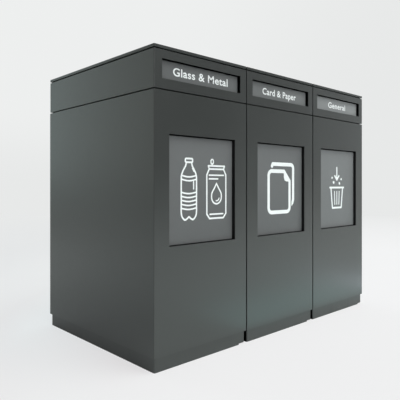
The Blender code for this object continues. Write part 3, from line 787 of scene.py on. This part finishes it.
def lettering(name, words, width, height):
    """One line of plain letters, height tall at the capitals and width wide."""
    text = bpy.data.curves.new(name, "FONT")
    text.body = words
    text.align_x = "CENTER"
    text.size = height / CAPITAL_HEIGHT
    text.extrude = FILM / 2
    text.offset = 0.00078
    text.space_character = 1.06
    text.resolution_u = 5
    mesh = stood_up(text, name)
    xs = [vertex.co.x for vertex in mesh.vertices]
    middle = (min(xs) + max(xs)) / 2
    squeeze = width / (max(xs) - min(xs))
    for vertex in mesh.vertices:
        vertex.co.x = (vertex.co.x - middle) * squeeze
    return mesh


def stick(name, mesh, x, panel_y, z, body):
    """Puts a film just in front of a panel whose face is at panel_y."""
    mesh.transform(Matrix.Translation((x, panel_y - FILM_GAP - FILM / 2, z)))
    add(name, mesh, WHITE, body)


for module in MODULES:
    low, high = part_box(module + "_flap_frame")
    flap_low, flap_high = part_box(module + "_flap")
    name = module + "_pictogram"
    stick(name, flat_film(name, DRAWINGS[module]()), (low.x + high.x) / 2, flap_low.y,
          (flap_low.z + flap_high.z) / 2, "flap_" + module)

    low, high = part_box(module + "_sign_panel")
    name = module + "_sign_words"
    stick(name, lettering(name, *WORDS[module]), (low.x + high.x) / 2, low.y,
          high.z - WORDS_DROP, "cabinet")


# ====================================================================== stage

# A soft studio surround. Each glow is a broad patch of the sky: compass angle from +Y
# towards +X, height above the horizon, sharpness, and colour times strength.
GLOWS = (
    (0.0, 5.0, 9.0, (0.876, 1.240, 1.300)),
    (72.0, 5.0, 9.0, (3.513, 4.034, 4.070)),
    (216.0, 5.0, 9.0, (0.360, 0.350, 0.400)),
    (324.0, 5.0, 9.0, (0.555, 0.530, 0.470)),
    (180.0, 35.0, 9.0, (0.600, 0.560, 0.580)),
    (112.0, 10.0, 20.0, (0.330, 0.300, 0.300)),
    (205.0, 28.0, 9.0, (1.480, 1.500, 1.520)),
    (144.0, 62.0, 18.0, (7.10, 7.80, 7.50)),
    (5.0, 46.0, 18.0, (1.70, 1.70, 1.72)),
)
# Low reflector cards, hidden from the camera: place, aim, size, colour times power.
CARDS = (
    ((1.9, -1.3, 0.02), (1.9, -1.3, 1.0), (1.4, 1.2), (0.068, 0.000, 0.000)),
    ((2.4, -1.7, 0.45), (0.4, -0.4, 0.2), (1.6, 0.8), (0.906, 0.881, 0.847)),
    ((0.9, -2.2, 0.02), (0.9, -2.2, 1.0), (1.6, 1.2), (1.064, 0.908, 0.947)),
    ((1.3, -0.75, 0.02), (1.3, -0.75, 1.0), (0.5, 0.6), (0.960, 1.113, 1.263)),
    ((0.45, -0.71, 0.015), (0.45, -0.71, 1.0), (1.2, 0.36), (0.330, 0.700, 0.680)),
)
BACKDROP = (0.840, 0.852, 0.848)
BACKDROP_LOW = 0.955  # the dimmest backdrop, where the floor meets it
FLOOR = (0.815, 0.822, 0.822)
# how much of the floor colour reflects, for other rays and for the camera
FLOOR_BOUNCE, FLOOR_SHADE = 0.92, 0.25
# light the floor gives off to the camera, and painted light close to the left side
FLOOR_GLOW, FLOOR_PAINTED_LIGHT = (0.682, 0.668, 0.677), (0.722, 0.746, 0.755)
FAR_GLOW = (0.319, 0.337, 0.320)  # the far floor, for other rays


def floor_material():
    """A plain pale floor that the camera sees evenly lit, as a studio sweep is."""
    graph = Material("pale_floor")
    mottle = graph.noise(scale=1.4, detail=4.0, rough=0.55)
    fine = graph.noise(scale=260.0, detail=3.0, rough=0.6)
    ground = graph.tones(mottle, FLOOR, dark=0.99, pale=1.01)
    seen = graph.node("ShaderNodeLightPath").outputs["Is Camera Ray"]
    # painted shade: the sweep is a little dimmer towards the back left
    x, y, _ = graph.split(graph.place)
    away = graph.minus(y, x)
    level = graph.times(graph.between(seen, off=FLOOR_BOUNCE, on=FLOOR_SHADE),
                        graph.ranged(away, span=(0.4, 3.0), to=(1.0, 0.80)))
    # painted shade: what the left side sees of the floor is dimmer still, so the lower left
    # side of the row shows a darker reflection
    painted_shade_beside = graph.times(graph.ranged(x, span=(-1.15, -0.82), to=(1.0, 0.0)),
                         graph.ranged(away, span=(2.2, 3.4), to=(1.0, 0.0)))
    painted_shade_beside = graph.times(painted_shade_beside, graph.minus(1.0, seen))
    level = graph.times(level, graph.between(painted_shade_beside, off=1.0, on=0.72))
    graph.finish(graph.scaled(ground, level), 0.8,
                 graph.bump(fine, distance=0.0001, strength=0.2), Specular_IOR_Level=0.0)
    # and gets a painted pool of cool light close to the left side, which lifts the shadow of
    # the row there
    even = graph.node("ShaderNodeEmission")
    fill = graph.times(graph.ranged(x, span=(-1.25, -0.85)),
                       graph.ranged(away, span=(0.55, 1.25)))
    fill = graph.times(fill, graph.ranged(away, span=(1.3, 1.6), to=(1.0, 0.35)))
    graph.link(graph.mix(fill, FLOOR_GLOW, FLOOR_PAINTED_LIGHT), even.inputs["Color"])
    # painted shade: the glow the camera sees is dimmer towards the back left as well
    strength = graph.times(seen, graph.ranged(away, span=(0.0, 2.6), to=(0.955, 0.845)))
    graph.link(strength, even.inputs["Strength"])
    lit_floor = graph.node("ShaderNodeAddShader")
    graph.link(graph.shader.outputs[0], lit_floor.inputs[0])
    graph.link(even.outputs[0], lit_floor.inputs[1])
    # far away the floor melts into the backdrop
    reach = graph.math("SQRT", graph.plus(graph.times(x, x), graph.times(y, y)))
    fade = graph.ranged(reach, span=(3.0, 9.0))
    sweep = graph.node("ShaderNodeEmission")
    graph.link(graph.mix(seen, FAR_GLOW, shade(BACKDROP, BACKDROP_LOW)), sweep.inputs["Color"])
    blend = graph.node("ShaderNodeMixShader")
    for k, output in enumerate((fade, lit_floor.outputs[0], sweep.outputs[0])):
        graph.link(output, blend.inputs[k])
    graph.link(blend.outputs[0], graph.tree.nodes["Material Output"].inputs["Surface"])
    return graph.mat


def pale_floor():
    disc = bmesh.new()
    bmesh.ops.create_circle(disc, cap_ends=True, segments=96, radius=40.0)
    mesh = bpy.data.meshes.new("floor")
    disc.to_mesh(mesh)
    disc.free()
    floor = bpy.data.objects.new("floor", mesh)
    floor.location = (0.0, 0.0, -0.0002)
    SCENE.collection.objects.link(floor)
    mesh.materials.append(floor_material())


def glow_patch(graph, direction, compass, height, sharpness, colour):
    """One glow: colour * exp(sharpness * (cosine of the angle off its middle - 1))."""
    turn, rise = math.radians(compass), math.radians(height)
    dot = graph.node("ShaderNodeVectorMath", operation="DOT_PRODUCT")
    graph.link(direction, dot.inputs[0])
    dot.inputs[1].default_value = (
        math.sin(turn) * math.cos(rise), math.cos(turn) * math.cos(rise), math.sin(rise))
    near = graph.node("ShaderNodeMath", operation="MULTIPLY_ADD")
    graph.link(dot.outputs["Value"], near.inputs[0])
    near.inputs[1].default_value = sharpness
    near.inputs[2].default_value = -sharpness
    bell = graph.node("ShaderNodeMath", operation="EXPONENT")
    graph.link(near.outputs[0], bell.inputs[0])
    return graph.scaled(colour, bell.outputs[0])


def studio_world():
    """A pale backdrop for the camera, and the soft surround that lights the object."""
    world = bpy.data.worlds.new("studio")
    SCENE.world = world
    world.use_nodes = True
    world.node_tree.nodes.clear()
    graph = Graph(world.node_tree)
    direction = graph.node("ShaderNodeTexCoord").outputs["Generated"]
    total = None
    for glow in GLOWS:
        patch = glow_patch(graph, direction, *glow)
        if total is None:
            total = patch
        else:
            both = graph.node("ShaderNodeVectorMath", operation="ADD")
            graph.link(total, both.inputs[0])
            graph.link(patch, both.inputs[1])
            total = both.outputs[0]
    lit = graph.node("ShaderNodeBackground")
    graph.link(total, lit.inputs["Color"])
    # the backdrop the camera sees: dimmer low down and to the right
    parts = graph.split(direction)
    falls = [
        graph.ranged(parts[axis], span, to=(1.012, BACKDROP_LOW), easing="SMOOTHSTEP")
        for axis, span in ((0, (0.60, 0.90)), (2, (0.16, 0.0)))
    ]
    least = graph.math("MINIMUM", *falls)
    seen = graph.node("ShaderNodeBackground")
    seen.inputs["Color"].default_value = (*BACKDROP, 1.0)
    graph.link(least, seen.inputs["Strength"])
    mix = graph.node("ShaderNodeMixShader")
    graph.link(graph.node("ShaderNodeLightPath").outputs["Is Camera Ray"], mix.inputs[0])
    graph.link(lit.outputs[0], mix.inputs[1])
    graph.link(seen.outputs[0], mix.inputs[2])
    graph.link(mix.outputs[0], graph.node("ShaderNodeOutputWorld").inputs["Surface"])


def soft_card(name, place, aim, size, power):
    lamp = bpy.data.lights.new(name, "AREA")
    lamp.shape = "RECTANGLE"
    lamp.size, lamp.size_y = size
    lamp.energy = max(power)
    lamp.color = [channel / max(power) for channel in power]
    card = bpy.data.objects.new(name, lamp)
    SCENE.collection.objects.link(card)
    card.location = place
    card.rotation_euler = (Vector(aim) - Vector(place)).to_track_quat("-Z", "Y").to_euler()
    card.visible_camera = False


def add_camera():
    """A level camera in front and to the left, turned towards the row."""
    data = bpy.data.cameras.new("camera")
    data.sensor_width = 36.0
    data.lens = 42.405
    data.shift_y = -0.0379
    camera = bpy.data.objects.new("camera", data)
    SCENE.collection.objects.link(camera)
    camera.location = (-1.8059, -1.7828, 0.6893)
    camera.rotation_euler = (math.radians(90.0), 0.0, math.radians(-43.03))
    SCENE.camera = camera


pale_floor()
studio_world()
for k, card in enumerate(CARDS):
    soft_card("card_%d" % k, *card)
add_camera()
SCENE.view_settings.view_transform = "Standard"
SCENE.view_settings.look = "None"
